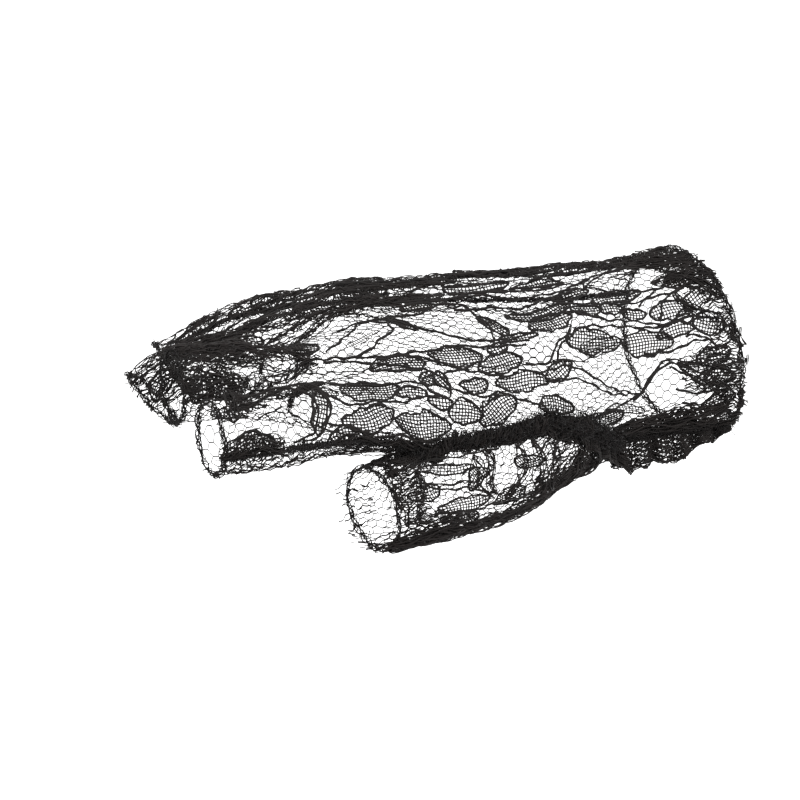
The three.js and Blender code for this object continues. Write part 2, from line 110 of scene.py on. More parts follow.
def at_distances(far, run, line):
    """The points of a line, or directions given along it, at distances along it."""
    return np.stack([np.interp(far, run, axis) for axis in line.T], -1)


def body_section(along, share, face):
    """Points of the body's sections, at shares of the cloth's width. face is 1 or -1."""
    rise, wide, back, palm, square, tilt, seam = [
        smooth(BODY[:, 0], BODY[:, column], along) for column in range(1, 8)]
    start = -face * np.radians(seam)[:, None]
    angle = start + (np.pi - start) * np.linspace(0, 1, 73)
    power = (2 / square)[:, None]
    y = -wide[:, None] * np.sign(np.cos(angle)) * np.abs(np.cos(angle)) ** power
    height = np.where(angle < 0, palm[:, None], back[:, None] if face > 0 else -palm[:, None])
    z = height * np.sign(np.sin(angle)) * np.abs(np.sin(angle)) ** power
    run = np.cumsum(np.hypot(np.diff(y), np.diff(z)), 1)
    run = np.concatenate([np.zeros((len(along), 1)), run], 1) / run[:, -1:]
    y, z = [np.array([np.interp(share, *row) for row in zip(run, values)]) for values in (y, z)]
    turn = np.radians(tilt)[:, None]
    x = np.broadcast_to(-along[:, None], y.shape)
    rise = rise[:, None]
    across = y * np.cos(turn) + z * np.sin(turn)
    return np.stack([x, across, rise - y * np.sin(turn) + z * np.cos(turn)], -1)


def finger_section(finger, along):
    """The middle, sideways and upward directions and half sizes of a finger."""
    knuckle, bend, end = np.array(finger["path"], float)
    part = np.linspace(0, 1, 201)[:, None]
    line = (1 - part) ** 2 * knuckle + 2 * part * (1 - part) * bend + part * part * end
    slope = unit(2 * (1 - part) * (bend - knuckle) + 2 * part * (end - bend))
    run = distances(line)
    share = (along - KNUCKLES) / (finger["length"] - KNUCKLES)
    held = np.clip(share, 0, 1)
    middle, ahead = at_distances(held * run[-1], run, line), at_distances(held * run[-1], run, slope)
    middle = middle + ahead * ((share - held) * run[-1])[:, None]
    side = unit(np.cross(ahead, (0, 0, 1)))
    width, height = [smooth(SIZE_STATIONS, finger[size], held) for size in ("width", "height")]
    return middle, side, np.cross(side, ahead), width, height


def cloth_grid(face, along, columns=40):
    """The cloth's outer face as a grid of points, finger by finger."""
    sections = [finger_section(finger, along) for finger in FINGERS]
    t = np.clip((along - FORKS) / FORK_SPREAD, 0, 1)
    parted = (t * t * (3 - 2 * t))[:, None]
    blend = (np.clip((along - KNUCKLES) / (FORKS - KNUCKLES), 0, 1) ** 2)[:, None, None]
    fingers = []
    for number, (middle, side, up, width, height) in enumerate(sections):
        share = np.linspace(FINGER_EDGES[number], FINGER_EDGES[number + 1], columns + 1)
        body = body_section(along, share, face)
        edges = []
        for way in (-1, 1):
            own = middle + way * side * width[:, None]
            if 0 <= number + way < len(FINGERS):
                next_middle, next_side, _, next_width, _ = sections[number + way]
                both = (own + next_middle - way * next_side * next_width[:, None]) / 2
                own = both + (own - both) * parted
            edges.append(own[:, None])
        angle = np.linspace(0, np.pi, columns + 1)[None, :, None]
        point = (edges[0] + edges[1]) / 2 - (edges[1] - edges[0]) / 2 * np.cos(angle)
        point = point + face * (up * height[:, None])[:, None] * np.sin(angle)
        fingers.append(body + (point - body) * blend)
    return np.stack(fingers, 1)


# The thumb's tube, which the panels are cut away for: along, across, rise, half width, half height
THUMB = np.array([
    (8, -2.0, -4.0, 10.0, 12.0),
    (28, -8.5, -9.5, 12.5, 15.5),
    (46, -18.5, -9.8, 13.2, 13.6),
    (61, -27.5, -10.3, 12.8, 12.2),
    (80, -34.0, -11.0, 11.6, 10.8),
    (97, -38.0, -12.0, 10.0, 9.8),
])


def thumb_section(along):
    """The middle of the thumb's tube, its forward, sideways and upward directions and half sizes."""
    def middle(at):
        across, rise = [smooth(THUMB[:, 0], THUMB[:, column], at) for column in (1, 2)]
        return np.stack([-at, across, rise], -1)

    ahead = unit(middle(along + 0.5) - middle(along - 0.5))
    side = unit(np.cross(ahead, (0, 0, 1)))
    sizes = [smooth(THUMB[:, 0], THUMB[:, column], along) for column in (3, 4)]
    return middle(along), ahead, side, np.cross(side, ahead), *sizes


def in_thumb(points, grow=1.0):
    """Whether points lie inside the thumb's tube."""
    root, end = THUMB[0, 0], THUMB[-1, 0]
    along = -points[..., 0]
    for _ in range(3):
        middle, ahead, *_ = thumb_section(np.clip(along, root, end))
        along = along + ((points - middle) * ahead).sum(-1)
    middle, _, side, up, width, height = thumb_section(np.clip(along, root, end))
    off = points - middle
    round_off = ((off * side).sum(-1) / (width + grow)) ** 2 + ((off * up).sum(-1) / (height + grow)) ** 2
    return (round_off < 1) & (along > root) & (along < end)


def waves(along, across):
    """The cloth's slack: low folds that run mostly lengthwise, deeper on the little finger's side."""
    low = 0.4 * np.sin(across * 0.42 + np.sin(along * 0.06) * 1.7) * np.sin(along * 0.045 + across * 0.11)
    fine = 0.2 * np.sin(along * 0.19 + across * 0.31 + 1.3)
    outer = np.clip((across - 50) / 8, 0, 1)
    gathered = 0.8 * np.sin(across * 1.35 + np.sin(along * 0.09 + across * 0.2) * 1.5) - 0.9
    return low + fine + outer * gathered


def pulled(along, across):
    """A place moved a little, as wear draws the knitting out of line."""
    lengthwise = 0.5 * np.sin(across * 0.33 + along * 0.12) + 0.3 * np.sin(across * 0.9 - along * 0.21 + 2)
    sideways = 0.45 * np.sin(along * 0.2 + across * 0.15 + 1) + 0.3 * np.sin(along * 0.5 - across * 0.3)
    return along + lengthwise, across + sideways


def ragged(across):
    """How far the threads stand past an opening's seam, in millimetres."""
    return 1.0 + 0.9 * np.sin(across * 2.3) * np.sin(across * 0.71 + 0.6) + 0.5 * np.sin(across * 5.9)


class Sheet:
    """A panel's form, which turns places on the flat cloth into points in space."""

    # The form is worked out at this many columns a finger and at rows this far apart, from low to
    # high along the glove. Slack is the share of the cloth's low folds that a sheet has.
    columns = 40
    step = 1.5
    low = -16
    high = 145
    slack = 1

    def __init__(self, face, width):
        self.width = width
        self.edges = np.array(FINGER_EDGES) * width
        self.rows = np.arange(self.low, self.high, self.step)
        self.points = cloth_grid(face, self.rows, self.columns)
        sideways = np.gradient(self.points, axis=2)
        lengthwise = np.gradient(self.points, axis=0)
        self.normals = unit(np.cross(sideways, lengthwise) * face + 1e-9)

    def flat(self, place):
        """Millimetres across the flat cloth, from a place counted in finger widths."""
        return np.interp(place, range(len(FINGER_EDGES)), self.edges)

    def finger(self, across):
        """The number of the finger that a spot of the cloth is cut in one with."""
        return np.searchsorted(self.edges[1:-1], across)

    def place(self, along, across, lift):
        """Points at a height over spots of the flat cloth, with the cloth's normals there."""
        finger = self.finger(across)
        left, right = self.edges[finger], self.edges[finger + 1]
        column = np.clip((across - left) / (right - left), 0, 1) * self.columns
        row = np.clip((along - self.low) / self.step, 0, len(self.rows) - 1.001)
        i, j = row.astype(int), np.minimum(column.astype(int), self.columns - 1)
        down, over = (row - i)[:, None], (column - j)[:, None]

        def mixed(grid):
            near = grid[i, finger, j] * (1 - over) + grid[i, finger, j + 1] * over
            far = grid[i + 1, finger, j] * (1 - over) + grid[i + 1, finger, j + 1] * over
            return near * (1 - down) + far * down

        normal = unit(mixed(self.normals))
        return mixed(self.points) + normal * np.broadcast_to(lift, along.shape)[:, None], normal

    def on_cloth(self, along, across, points):
        """Whether places are on the cut cloth: inside its edges, its forks and the thumb's hole."""
        length = np.array([finger["length"] for finger in FINGERS])[self.finger(across)]
        slit = np.abs(across[:, None] - self.edges[1:-1]).min(-1)
        wrist = -WRIST_DIP * (1 - np.clip(across / self.width, 0, 1)) ** 2
        inside = (across > -0.1) & (across < self.width + 0.1)
        inside &= (along > wrist - ragged(across)) & (along < length + ragged(across))
        return inside & ((along < FORK_SEAM) | (slit > 0.4)) & ~in_thumb(points)

    def lay(self, along, across, lift=0.0, keep=True):
        """The stretches of one thread that lie on the cloth, as points with the cloth's normals."""
        along, across = pulled(along, across)
        points, normals = self.place(along, across, self.slack * waves(along, across) + lift)
        on = self.on_cloth(along, across, points)
        one_side = self.finger(across[1:]) == self.finger(across[:-1])
        kept = on[1:] & on[:-1] & (one_side | (along[1:] < FORK_SEAM - 2)) & keep
        ends = np.flatnonzero(np.diff(np.concatenate([[0], kept, [0]])))
        return [(points[first:last + 1], normals[first:last + 1]) for first, last in ends.reshape(-1, 2)]


def leaf_edge(share, width, number, way):
    """A leaf's half width at a share of its length: blunt at both ends, with a lumpy edge."""
    lumps = 1 + 0.13 * np.sin(share * 17 + number * 2.4 + way)
    lumps = lumps + 0.07 * np.sin(share * 33 + number + way * 2)
    return width / 2 * np.sin(math.pi * np.clip(share, 0, 1)) ** 0.55 * lumps


def leaf_bend(share, length, number):
    """How far a leaf's spine stands aside from its chord."""
    return 0.08 * length * math.sin(number * 1.7) * (1 - (2 * share - 1) ** 2)


def in_leaves(sheet, leaves, along, across):
    """Whether spots of the flat cloth lie inside a leaf."""
    inside = np.zeros(along.shape, bool)
    for number, (middle, place, length, width, turn) in enumerate(leaves):
        turn = math.radians(turn)
        off_along, off_across = along - middle, across - sheet.flat(place)
        share = (off_across * math.sin(turn) - off_along * math.cos(turn)) / length + 0.5
        off = off_along * math.sin(turn) + off_across * math.cos(turn) - leaf_bend(share, length, number)
        inside |= (share > 0) & (share < 1) & (np.abs(off) < leaf_edge(share, width, number, np.sign(off)))
    return inside


# The net: lengthwise threads that lean on each neighbour in turn, which leaves six-sided meshes.
# Corners are shares of a mesh's length, with the side that the thread leans to there.
NET_LENGTH = 4.0
NET_WIDTH = 1.3
NET_CORNERS = ((0.0, 1.0), (0.3, 1.0), (0.5, -1.0), (0.8, -1.0))


def net_paths(sheet, leaves):
    """The net's threads over a whole sheet, left out inside its leaves."""
    paths = []
    rows = np.arange(sheet.low, sheet.high, NET_LENGTH)
    shares, swings = np.array(NET_CORNERS).T
    along = (rows[:, None] + shares * NET_LENGTH).ravel()
    swing = np.tile(swings, len(rows)) * NET_WIDTH * 0.46
    for thread in range(int(sheet.width / NET_WIDTH)):
        across = (thread + 0.5) * NET_WIDTH + swing * (-1) ** thread
        hidden = in_leaves(sheet, leaves, (along[1:] + along[:-1]) / 2, (across[1:] + across[:-1]) / 2)
        paths += sheet.lay(along, across, 0.0, ~hidden)
    return paths


LEAF_MESH = 0.8  # between two threads of a leaf's square mesh


def leaf_paths(sheet, leaves):
    """The square mesh inside each leaf, and the gimp cord round it."""
    mesh, gimp = [], []
    for number, (middle, place, length, width, turn) in enumerate(leaves):
        turn = math.radians(turn)
        flat = sheet.flat(place)

        def chart(share, side):
            run = (share - 0.5) * length
            side = side + leaf_bend(share, length, number)
            along = middle - run * math.cos(turn) + side * math.sin(turn)
            return along, flat + run * math.sin(turn) + side * math.cos(turn)

        for share in np.arange(LEAF_MESH / 2, length, LEAF_MESH) / length:
            low, high = -leaf_edge(share, width, number, -1), leaf_edge(share, width, number, 1)
            side = np.linspace(low, high, max(2, round((high - low) * 0.65) + 1))
            mesh += sheet.lay(*chart(np.full(side.shape, share), side), 0.08)
        share = np.linspace(0, 1, round(length * 1.1) + 1)
        half = (share[1:] + share[:-1]) / 2
        for side in np.arange(LEAF_MESH / 2 - width * 0.6, width * 0.6, LEAF_MESH):
            within = abs(side) < leaf_edge(half, width, number, math.copysign(1, side))
            mesh += sheet.lay(*chart(share, np.full(share.shape, side)), -0.03, within)
        lap = np.linspace(0, 2 * math.pi, max(20, round(length * 2.6)))
        share = 0.5 - 0.5 * np.cos(lap)
        way = np.sign(np.sin(lap))
        gimp += sheet.lay(*chart(share, way * leaf_edge(share, width, number, way)), 0.15)
    return mesh, gimp


def even_line(sheet, places, step=0.9):
    """A smooth line through a few places, as along and across in even steps."""
    along, across = np.array(places, float).T
    across = sheet.flat(across)
    run = np.concatenate([[0], np.cumsum(np.hypot(np.diff(along), np.diff(across)))])
    at = np.linspace(0, run[-1], round(run[-1] / step) + 2)
    return smooth(run, along, at), smooth(run, across, at), at


def stem_paths(sheet, table):
    """Gimp cords that lead from leaf to leaf."""
    paths = []
    for number, places in enumerate(table):
        along, across, at = even_line(sheet, places)
        paths += sheet.lay(along, across + 0.22 * np.sin(at * 1.3 + number), 0.15)
    return paths


chance = np.random.default_rng(11)


def fold_paths(sheet, table):
    """Gathered cloth: threads bunched over a low ridge, and others that zigzag across them."""
    paths = []
    for width, height, places in table:
        along, across, at = even_line(sheet, places, 1.15)
        slope = unit(np.stack([np.gradient(along), np.gradient(across)], -1))
        swell = np.sin(np.linspace(0, math.pi, len(at))) ** 0.35
        for side in np.linspace(-1, 1, max(4, round(width / 0.38))):
            phase, pace = chance.uniform(0, 6.3, 2), chance.uniform(0.25, 0.8, 2)
            off = swell * (side * width / 2 + 0.6 * np.sin(at * pace[0] + phase[0]))
            ridge = swell * height * (math.sqrt(1.05 - side * side) + 0.45 * np.sin(at * pace[1] + phase[1]))
            paths += sheet.lay(along - slope[:, 1] * off, across + slope[:, 0] * off, ridge)
        for _ in range(3):
            zigzag = np.where(np.arange(len(at)) % 2, 1, -1)
            off = zigzag * swell * width / 2 * chance.uniform(0.4, 1.15, len(at))
            ridge = swell * height * chance.uniform(0.0, 1.0, len(at))
            paths += sheet.lay(along - slope[:, 1] * off, across + slope[:, 0] * off, ridge)
    return paths


def gather_paths(sheet, patches):
    """Up to three more layers of net where the cloth lies in small pleats, inside oval patches."""
    paths = []
    along = np.arange(sheet.low, sheet.high, 1.35)
    smear = np.ones(5) / 5
    for layer in range(3):
        for column in np.arange(0.3, sheet.width, 0.8):
            patchy = np.convolve(chance.uniform(0, 1, len(along) + 3), smear, "valid")
            phase, pace = chance.uniform(0, 6.3, 2), chance.uniform(0.3, 0.9, 2)
            across = column + 0.28 * (-1.0) ** np.arange(len(along))
            across = across + 0.5 * np.sin(along * pace[0] + phase[0])
            kept = np.zeros(len(along) - 1, bool)
            for middle, place, half_length, half_width, fill in patches:
                off = ((along[1:] - middle) / half_length) ** 2
                off = off + ((column - sheet.flat(place)) / (half_width * sheet.width / 4)) ** 2
                kept |= (off < 0.6 + patchy) & (patchy < 0.25 + 0.5 * fill - 0.25 * layer)
            ridge = 0.2 + 0.25 * layer + 0.35 * np.sin(column * 1.7 + layer * 2 + along * 0.07)
            paths += sheet.lay(along, across, ridge + 0.25 * np.sin(along * pace[1] + phase[1]), kept)
    return paths


def thread_mesh(paths, radius, sides, uneven):
    """Closed tubes along paths, as points, four-sided walls and end faces.

    A panel has tens of thousands of threads, too many to make each with an operator of its own.
    """
    paths = [path for path in paths if len(path[0]) > 1]
    lengths = np.array([len(points) for points, _ in paths])
    first = np.cumsum(lengths) - lengths
    last = first + lengths - 1
    points = np.concatenate([points for points, _ in paths])
    ahead, behind = np.roll(points, -1, 0), np.roll(points, 1, 0)
    ahead[last], behind[first] = points[last], points[first]
    tangent = unit(ahead - behind + 1e-9)
    side = unit(np.cross(tangent, np.concatenate([normals for _, normals in paths])) + 1e-9)
    angle = np.arange(sides)[:, None] * 2 * math.pi / sides + math.pi / 2
    reach = side[:, None] * np.cos(angle) + np.cross(side, tangent)[:, None] * np.sin(angle)
    reach = reach * radius * (1 + uneven * chance.uniform(-1, 1, (len(points), 1, 1)))
    here = np.setdiff1d(np.arange(len(points)), last)[:, None] * sides
    corner = np.arange(sides)
    after = (corner + 1) % sides
    walls = [here + corner, here + sides + corner, here + sides + after, here + after]
    walls = np.stack(walls, -1).reshape(-1, 4)
    ends = np.concatenate([first[:, None] * sides + corner, last[:, None] * sides + corner[::-1]])
    return (points[:, None] + reach).reshape(-1, 3) * MM, walls, ends


def lace_piece(name, slot, node, *parts):
    """One piece made of threads. Each part gives paths, radius, sides, unevenness and material."""
    mesh = bpy.data.meshes.new(name)
    points, loops, sizes, kinds = [], [], [], []
    offset = 0
    for kind, (paths, radius, sides, uneven, material) in enumerate(parts):
        tube_points, *polygons = thread_mesh(paths, radius, sides, uneven)
        points.append(tube_points)
        for faces in polygons:
            loops.append((faces + offset).ravel())
            sizes.append(np.full(len(faces), faces.shape[1]))
            kinds.append(np.full(len(faces), kind))
        offset += len(tube_points)
        mesh.materials.append(material)
    points, loops, sizes, kinds = [np.concatenate(rows) for rows in (points, loops, sizes, kinds)]
    mesh.vertices.add(len(points))
    mesh.vertices.foreach_set("co", points.ravel())
    mesh.loops.add(len(loops))
    mesh.loops.foreach_set("vertex_index", loops)
    mesh.polygons.add(len(sizes))
    mesh.polygons.foreach_set("loop_start", np.cumsum(sizes) - sizes)
    mesh.polygons.foreach_set("material_index", kinds)
    mesh.update(calc_edges=True)
    mesh.shade_smooth()
    piece = bpy.data.objects.new(name, mesh)
    bpy.context.scene.collection.objects.link(piece)
    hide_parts(node)
    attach(piece, "root")


def spun_thread_group():
    """Shared effect of spun polyester: uneven dye and the fine twist of the yarn."""
    group = bpy.data.node_groups.new("Spun thread", "ShaderNodeTree")
    group.interface.new_socket("Dark", in_out="INPUT", socket_type="NodeSocketColor")
    group.interface.new_socket("Light", in_out="INPUT", socket_type="NodeSocketColor")
    group.interface.new_socket("Color", in_out="OUTPUT", socket_type="NodeSocketColor")
    group.interface.new_socket("Normal", in_out="OUTPUT", socket_type="NodeSocketVector")
    nodes, links = group.nodes, group.links
    given, result = nodes.new("NodeGroupInput"), nodes.new("NodeGroupOutput")
    place = nodes.new("ShaderNodeTexCoord")
    dye = nodes.new("ShaderNodeTexNoise")
    dye.inputs["Scale"].default_value = 320
    dye.inputs["Detail"].default_value = 4
    mix = nodes.new("ShaderNodeMix")
    mix.data_type = "RGBA"
    twist = nodes.new("ShaderNodeTexNoise")
    twist.inputs["Scale"].default_value = 5200
    bump = nodes.new("ShaderNodeBump")
    bump.inputs["Strength"].default_value = 0.6
    bump.inputs["Distance"].default_value = 0.00006
    links.new(place.outputs["Object"], dye.inputs["Vector"])
    links.new(place.outputs["Object"], twist.inputs["Vector"])
    links.new(dye.outputs["Fac"], mix.inputs["Factor"])
    # A Mix node's colours are its inputs 6 and 7 and its output 2.
    links.new(given.outputs["Dark"], mix.inputs[6])
    links.new(given.outputs["Light"], mix.inputs[7])
    links.new(twist.outputs["Fac"], bump.inputs["Height"])
    links.new(mix.outputs[2], result.inputs["Color"])
    links.new(bump.outputs["Normal"], result.inputs["Normal"])
    return group


spun_thread = spun_thread_group()


def thread_material(name, dark, light, roughness, sheen):
    """Dull black yarn, between a dark and a light shade of its dye."""
    material = bpy.data.materials.new(name)
    material.use_nodes = True
    nodes, links = material.node_tree.nodes, material.node_tree.links
    shader = nodes["Principled BSDF"]
    shader.inputs["Roughness"].default_value = roughness
    shader.inputs["Specular IOR Level"].default_value = 0.12
    shader.inputs["Sheen Weight"].default_value = sheen
    shader.inputs["Sheen Roughness"].default_value = 0.4
    thread = nodes.new("ShaderNodeGroup")
    thread.node_tree = spun_thread
    thread.inputs["Dark"].default_value = (*dark, 1)
    thread.inputs["Light"].default_value = (*light, 1)
    links.new(thread.outputs["Color"], shader.inputs["Base Color"])
    links.new(thread.outputs["Normal"], shader.inputs["Normal"])
    return material


net_thread = thread_material("Net thread", (0.003, 0.0025, 0.0025), (0.016, 0.013, 0.012), 0.6, 0.02)
gimp_thread = thread_material("Gimp cord", (0.002, 0.0018, 0.0018), (0.010, 0.008, 0.0075), 0.68, 0.02)

# Leaves of the back: middle along, place across, length, width, and turn in degrees, above 0 where
# the wrist end points towards the little finger
BACK_LEAVES = [
    (12, 1.57, 11.5, 5.0, -5), (12.5, 1.30, 11, 3.4, 0), (20.5, 1.27, 13.5, 6.8, -8),
    (22, 1.66, 7, 3.6, -10), (25, 1.88, 14, 3.8, 8), (27.5, 1.72, 7.5, 3.4, -5),
    (34.6, 1.40, 15, 6.2, -5), (34.5, 1.77, 8, 3.6, -5), (35.5, 2.02, 9.5, 4.0, 5),
    (45, 1.64, 12.5, 5.4, 8), (45.5, 1.86, 17, 4.0, 5), (46.5, 1.03, 9, 3.8, 25),
    (55, 1.46, 11, 2.4, 8), (58.8, 1.7, 8, 4.0, -62), (61.8, 1.34, 5.5, 3.2, 20),
    (57, 0.90, 14.5, 5.0, 4), (62, 1.10, 13, 5.0, 14), (70.5, 0.85, 8, 3.8, 14),
    (73, 1.21, 13, 6.4, 4), (64.8, 0.58, 12, 7.0, 35), (48, 0.66, 11, 4.2, 0),
    (32.5, 0.42, 13.5, 7.0, 12), (44, 0.34, 10, 5.0, -20), (36, 0.13, 8, 3.6, 5),
    (74, 0.52, 9, 6.0, 5), (85.5, 0.30, 15, 7.2, 10), (87.5, 0.59, 8, 3.4, 5),
    (88, 1.02, 13, 6.2, 4), (98, 0.62, 15.5, 6.8, 6), (99.5, 0.28, 14, 6.0, 14),
    (112, 0.32, 10, 4.2, 80), (105.5, 0.05, 10, 4.0, 5), (109, 0.93, 7, 5.4, -5),
    (108, 1.50, 8, 4.8, -10), (116, 2.25, 8, 3.2, 0),
    (82.5, 0.82, 5.5, 3.6, 60), (78.5, 0.82, 5.5, 3.4, -60), (80.5, 0.56, 6, 3.0, 10),
    (4, 1.62, 9, 4.4, 20), (3, 1.34, 9, 4.2, -10), (2, 1.02, 9, 5.0, 10),
    (1, 0.74, 9, 4.6, -15), (-1, 0.42, 9, 5.0, 10), (6, 1.95, 9, 5.0, 0),
    (9, 0.24, 12, 5.2, 0), (21, 0.18, 12, 5.0, -8), (2, 2.4, 10, 5, 10),
    (14, 2.62, 13, 4.6, -6), (28, 2.68, 14, 4.4, 5), (41, 2.38, 14, 4.2, 0),
    (55, 2.55, 15, 4.6, -5), (70, 2.48, 14, 4.6, 5), (84, 2.6, 14, 4.6, -5),
    (98, 2.5, 13, 4.4, 0), (110, 2.7, 11, 4.6, 10), (124, 2.5, 12, 5, 0),
    (133, 2.25, 9, 4, 15), (35, 3.0, 13, 4.4, -5), (48, 3.25, 14, 5, 5),
    (63, 3.0, 14, 4.6, -5), (77, 3.3, 14, 5, 0), (91, 3.0, 13, 4.6, 5),
    (104, 3.35, 13, 5, -5), (117, 3.5, 11, 5, 0), (74, 3.78, 13, 4.2, 0),
    (96, 3.75, 13, 4.4, 0), (127, 1.75, 11, 4.6, 0), (131, 0.06, 15, 4.0, 0),
    (122, 1.0, 12, 4.0, 5), (133, 1.16, 11, 4.6, 0), (80.5, 1.81, 9.5, 2.6, -60),
    (73.5, 2.17, 9, 3.0, 0),
]

# A strip of close mesh with no gimp of its own, inside the upper stem's loop
BACK_STRIP = [(93, 1.53, 12, 2.2, 29)]

# Gimp stems: rows of spots, each along and across. Pairs of stems edge the clear windows.
BACK_STEMS = [
    [(86, 1.98), (83, 1.93), (80, 1.78), (76, 1.6), (70, 1.49), (64, 1.45), (60, 1.45), (52, 1.54)],
    [
        (96, 1.8), (84, 1.99), (78, 2.03), (74, 2.07), (68, 2.17),
        (64, 2.12), (61.4, 1.92), (60, 1.65), (61, 1.45),
    ],
    [(66, 2.0), (56, 1.99), (50, 1.97), (43, 2.02), (38, 2.08), (32, 2.12)],
    [(53, 1.0), (43, 1.07), (37.5, 1.0), (33.5, 0.9), (29.3, 0.79), (22.5, 0.66)],
    [(50, 0.94), (43, 0.95), (37, 0.89), (31, 0.77), (26, 0.69)],
    [(22.5, 0.66), (20, 0.78), (18.8, 0.87), (14.5, 0.97), (9, 0.93), (4, 0.8)],
    [(23.5, 0.6), (21, 0.72), (19.8, 0.86), (15.5, 1.01), (10, 1.0)],
    [(40, 1.56), (43.5, 1.4), (46.5, 1.25), (48, 1.15), (55, 1.1)],
    [(39, 1.52), (42.6, 1.38), (45.5, 1.22), (46, 1.14)],
    [(70, 0.62), (62, 0.76), (58, 0.72), (54, 0.68), (46, 0.5), (38, 0.46)],
    [(104, 1.28), (98, 1.22), (94, 1.1), (82, 0.94)],
    [(108, 1.3), (100, 1.3), (95, 1.24), (90, 1.2), (80, 1.1), (76, 1.04)],
    [(92, 2.3), (80, 2.32), (70, 2.33), (58, 2.22), (50, 2.12), (40, 2.14), (32, 2.2), (28, 2.32)],
    [(94, 2.24), (82, 2.26), (72, 2.25), (60, 2.3), (46, 2.26), (34, 2.28)],
    [
        (30, 2.1), (27.5, 2.24), (20, 2.36), (12, 2.33), (8.5, 2.12),
        (10, 1.96), (18, 1.93), (26, 1.98), (30, 2.1),
    ],
    [(31, 2.08), (28, 2.3), (20, 2.43), (11, 2.4), (6, 2.2)],
    [(40, 1.93), (32, 1.84), (26, 1.8), (18, 1.8), (8, 1.78)],
    [(48, 1.78), (40, 1.76), (30, 1.62), (20, 1.52), (14, 1.43), (5, 1.45)],
    [(40, 1.5), (30, 1.55), (20, 1.45), (12, 1.42), (2, 1.5)],
    [(127, 0.86), (121.5, 0.74), (117, 0.56), (114, 0.42), (113, 0.28), (114, 0.14), (119, 0.05)],
    [(126, 0.96), (119, 0.86), (113, 0.7), (110, 0.5), (109.5, 0.34), (111, 0.16), (117, 0.03)],
    [(110, 0.2), (104, 0.14), (98, 0.06), (92, 0.1)],
    [(110, 0.5), (106, 0.42), (94, 0.46), (88, 0.5), (80, 0.64)],
    [(110, 0.8), (105, 0.7), (94, 0.72), (88, 0.74), (84, 0.74)],
    [(78, 0.7), (74, 0.72), (68, 0.74), (62, 0.76)],
    [(78, 0.9), (74, 1.0), (70, 1.0), (66, 0.98), (60, 1.0)],
    [(92, 0.1), (80, 0.16), (70, 0.3), (60, 0.36), (52, 0.42)],
    [(92, 1.14), (86, 1.18), (80, 1.24), (72, 1.34), (66, 1.36), (61, 1.36), (54, 1.38)],
    [(40, 0.4), (28, 0.55), (22.5, 0.66)],
    [(50, 0.5), (44, 0.2), (34, 0.1), (22, 0.3)],
    [(83, 0.66), (79, 0.62), (77, 0.72), (79, 0.86), (83, 0.84), (84, 0.74), (83, 0.66)],
    [(102.5, 1.4), (98.5, 1.5), (96, 1.62), (91.5, 1.82), (88, 1.95), (86, 1.9), (84, 1.9), (81, 1.98)],
    [(97.5, 1.25), (95.5, 1.26), (93, 1.33), (90, 1.44), (87.5, 1.52), (84.5, 1.65), (84, 1.86)],
    [(22, 1.14), (17, 1.1), (10, 1.16), (2, 1.18)],
    [(16, 1.5), (10, 1.78), (2, 1.8), (-3, 1.7)],
    [(12, 0.7), (4, 0.6), (-4, 0.6)],
    [(10, 0.5), (2, 0.3), (-6, 0.25)],
    [(12, 1.92), (15, 1.86), (17.5, 1.8), (19.5, 1.74)],
    [(14.5, 0.93), (9.5, 0.85), (5, 0.7), (3, 0.57)],
    [(11.5, 1.45), (9.2, 1.54), (7, 1.45), (9.4, 1.36), (11.5, 1.45)],
    [(-3, 1.22), (-5, 1.06), (-6.5, 0.92), (-6, 0.8), (-4, 0.75), (0, 0.8)],
    [(-2, 2.0), (-3, 1.8), (-5.5, 1.5), (-4, 1.3), (-7.5, 1.05), (-6, 0.85), (-8.5, 0.6), (-8, 0.35)],
    [(8, 1.9), (3, 1.74), (-1, 1.78), (-4, 1.6)],
    [(10, 1.24), (4, 1.2), (0, 1.1), (-5, 1.2)],
    [(120, 2.6), (100, 2.8), (80, 2.95), (60, 3.0), (40, 3.0), (20, 3.0), (0, 2.8)],
    [(118, 3.2), (98, 3.2), (78, 3.15), (58, 3.15), (38, 3.1), (18, 3.05), (0, 3.3)],
]

